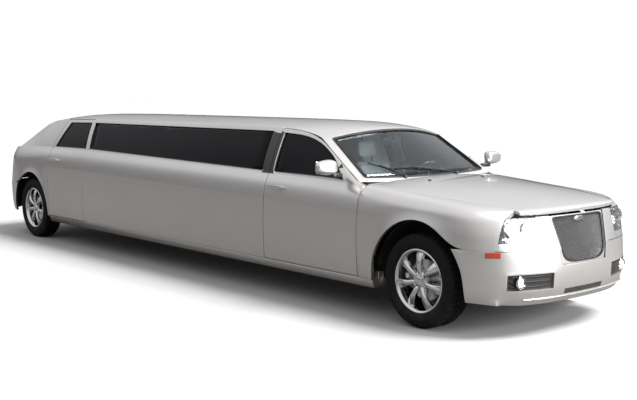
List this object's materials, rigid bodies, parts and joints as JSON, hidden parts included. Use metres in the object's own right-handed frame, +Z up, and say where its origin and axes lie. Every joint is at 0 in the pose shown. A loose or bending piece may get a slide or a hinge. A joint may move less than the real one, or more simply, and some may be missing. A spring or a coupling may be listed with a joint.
{
  "type": "stretch limousine",
  "caption": "Stretched saloon car with a long passenger lounge, opening doors, hood and trunk lid, steered front wheels and spoked rims.",
  "frame": {"origin": "on the ground under the middle of the car, halfway between its front and rear ends", "axes": "+X points forwards to the nose, +Y to the car's left, +Z up"},
  "size_m": [8.5516, 2.2888, 1.545],
  "materials": {
    "body_paint": "pearl clear coat",
    "glass_clear": "gloss",
    "glass_privacy": "gloss",
    "lamp_clear": "gloss",
    "lamp_red": "gloss",
    "bright_metal": "polished",
    "black_plastic": "satin",
    "trim_plastic": "grained",
    "light_trim": "satin",
    "seat_leather": "grained",
    "cabinet_wood": "lacquered",
    "tyre_rubber": "matte",
    "cast_metal": "cast",
    "chassis_steel": "satin",
    "pipe_steel": "satin"
  },
  "bodies": {
    "car": {"floor_pan": "chassis_steel", "firewall": "chassis_steel", "sills": "body_paint", "front_fenders": "body_paint", "side_panels": "body_paint", "quarter_panels": "body_paint", "roof": "body_paint", "windshield": "glass_clear", "rear_window": "glass_privacy", "side_windows": "glass_privacy", "front_bumper": "body_paint", "rear_bumper": "body_paint", "grille": "bright_metal", "headlamps": "lamp_clear", "fog_lamps": "black_plastic", "tail_lamps": "lamp_red", "dashboard": "trim_plastic", "steering_wheel": "trim_plastic", "partition": "light_trim", "front_seats": "seat_leather", "lounge_seats": "seat_leather", "bar_cabinet": "cabinet_wood", "engine_block": "cast_metal", "front_subframe": "chassis_steel", "rear_axle": "chassis_steel", "exhaust": "pipe_steel", "wheel_liners": "black_plastic"},
    "hood": {"hood": "body_paint"},
    "trunk_lid": {"trunk_lid": "body_paint"},
    "front_door_left": {"front_door_left": "body_paint", "front_glass_left": "glass_clear", "mirror_left": "body_paint"},
    "rear_door_left": {"rear_door_left": "body_paint", "rear_glass_left": "glass_privacy"},
    "knuckle_left": {"knuckle_left": "cast_metal"},
    "front_wheel_left": {"front_tyre_left": "tyre_rubber", "front_rim_left": "bright_metal"},
    "rear_wheel_left": {"rear_tyre_left": "tyre_rubber", "rear_rim_left": "bright_metal"},
    "front_door_right": {"front_door_right": "body_paint", "front_glass_right": "glass_clear", "mirror_right": "body_paint"},
    "rear_door_right": {"rear_door_right": "body_paint", "rear_glass_right": "glass_privacy"},
    "knuckle_right": {"knuckle_right": "cast_metal"},
    "front_wheel_right": {"front_tyre_right": "tyre_rubber", "front_rim_right": "bright_metal"},
    "rear_wheel_right": {"rear_tyre_right": "tyre_rubber", "rear_rim_right": "bright_metal"}
  },
  "joints": [
    {"name": "hood_hinge", "type": "hinge", "parent": "car", "child": "hood", "pos_m": [2.7485, 0, 1.092], "axis": [0, -1, 0], "range_deg": [0, 50]},
    {"name": "trunk_hinge", "type": "hinge", "parent": "car", "child": "trunk_lid", "pos_m": [-3.6575, 0, 1.146], "axis": [0, 1, 0], "range_deg": [0, 75]},
    {"name": "front_door_left_hinge", "type": "hinge", "parent": "car", "child": "front_door_left", "pos_m": [2.7495, 0.941, 0.7], "axis": [0, 0, -1], "range_deg": [0, 65]},
    {"name": "rear_door_left_hinge", "type": "hinge", "parent": "car", "child": "rear_door_left", "pos_m": [-1.8535, 0.941, 0.7], "axis": [0, 0, -1], "range_deg": [0, 65]},
    {"name": "steer_left", "type": "hinge", "parent": "car", "child": "knuckle_left", "pos_m": [3.3985, 0.7005, 0.364], "axis": [0, 0, 1], "range_deg": [-35, 35]},
    {"name": "front_wheel_left_spin", "type": "hinge", "parent": "knuckle_left", "child": "front_wheel_left", "pos_m": [3.3985, 0.8005, 0.364], "axis": [0, 1, 0], "continuous": true},
    {"name": "rear_wheel_left_spin", "type": "hinge", "parent": "car", "child": "rear_wheel_left", "pos_m": [-3.2055, 0.8005, 0.364], "axis": [0, 1, 0], "continuous": true},
    {"name": "front_door_right_hinge", "type": "hinge", "parent": "car", "child": "front_door_right", "pos_m": [2.7495, -0.941, 0.7], "axis": [0, 0, 1], "range_deg": [0, 65]},
    {"name": "rear_door_right_hinge", "type": "hinge", "parent": "car", "child": "rear_door_right", "pos_m": [-1.8535, -0.941, 0.7], "axis": [0, 0, 1], "range_deg": [0, 65]},
    {"name": "steer_right", "type": "hinge", "parent": "car", "child": "knuckle_right", "pos_m": [3.3985, -0.7005, 0.364], "axis": [0, 0, 1], "range_deg": [-35, 35]},
    {"name": "front_wheel_right_spin", "type": "hinge", "parent": "knuckle_right", "child": "front_wheel_right", "pos_m": [3.3985, -0.8005, 0.364], "axis": [0, 1, 0], "continuous": true},
    {"name": "rear_wheel_right_spin", "type": "hinge", "parent": "car", "child": "rear_wheel_right", "pos_m": [-3.2055, -0.8005, 0.364], "axis": [0, 1, 0], "continuous": true}
  ],
  "couplings": [
    {"joint": "steer_right", "follows": "steer_left", "ratio": 1}
  ]
}
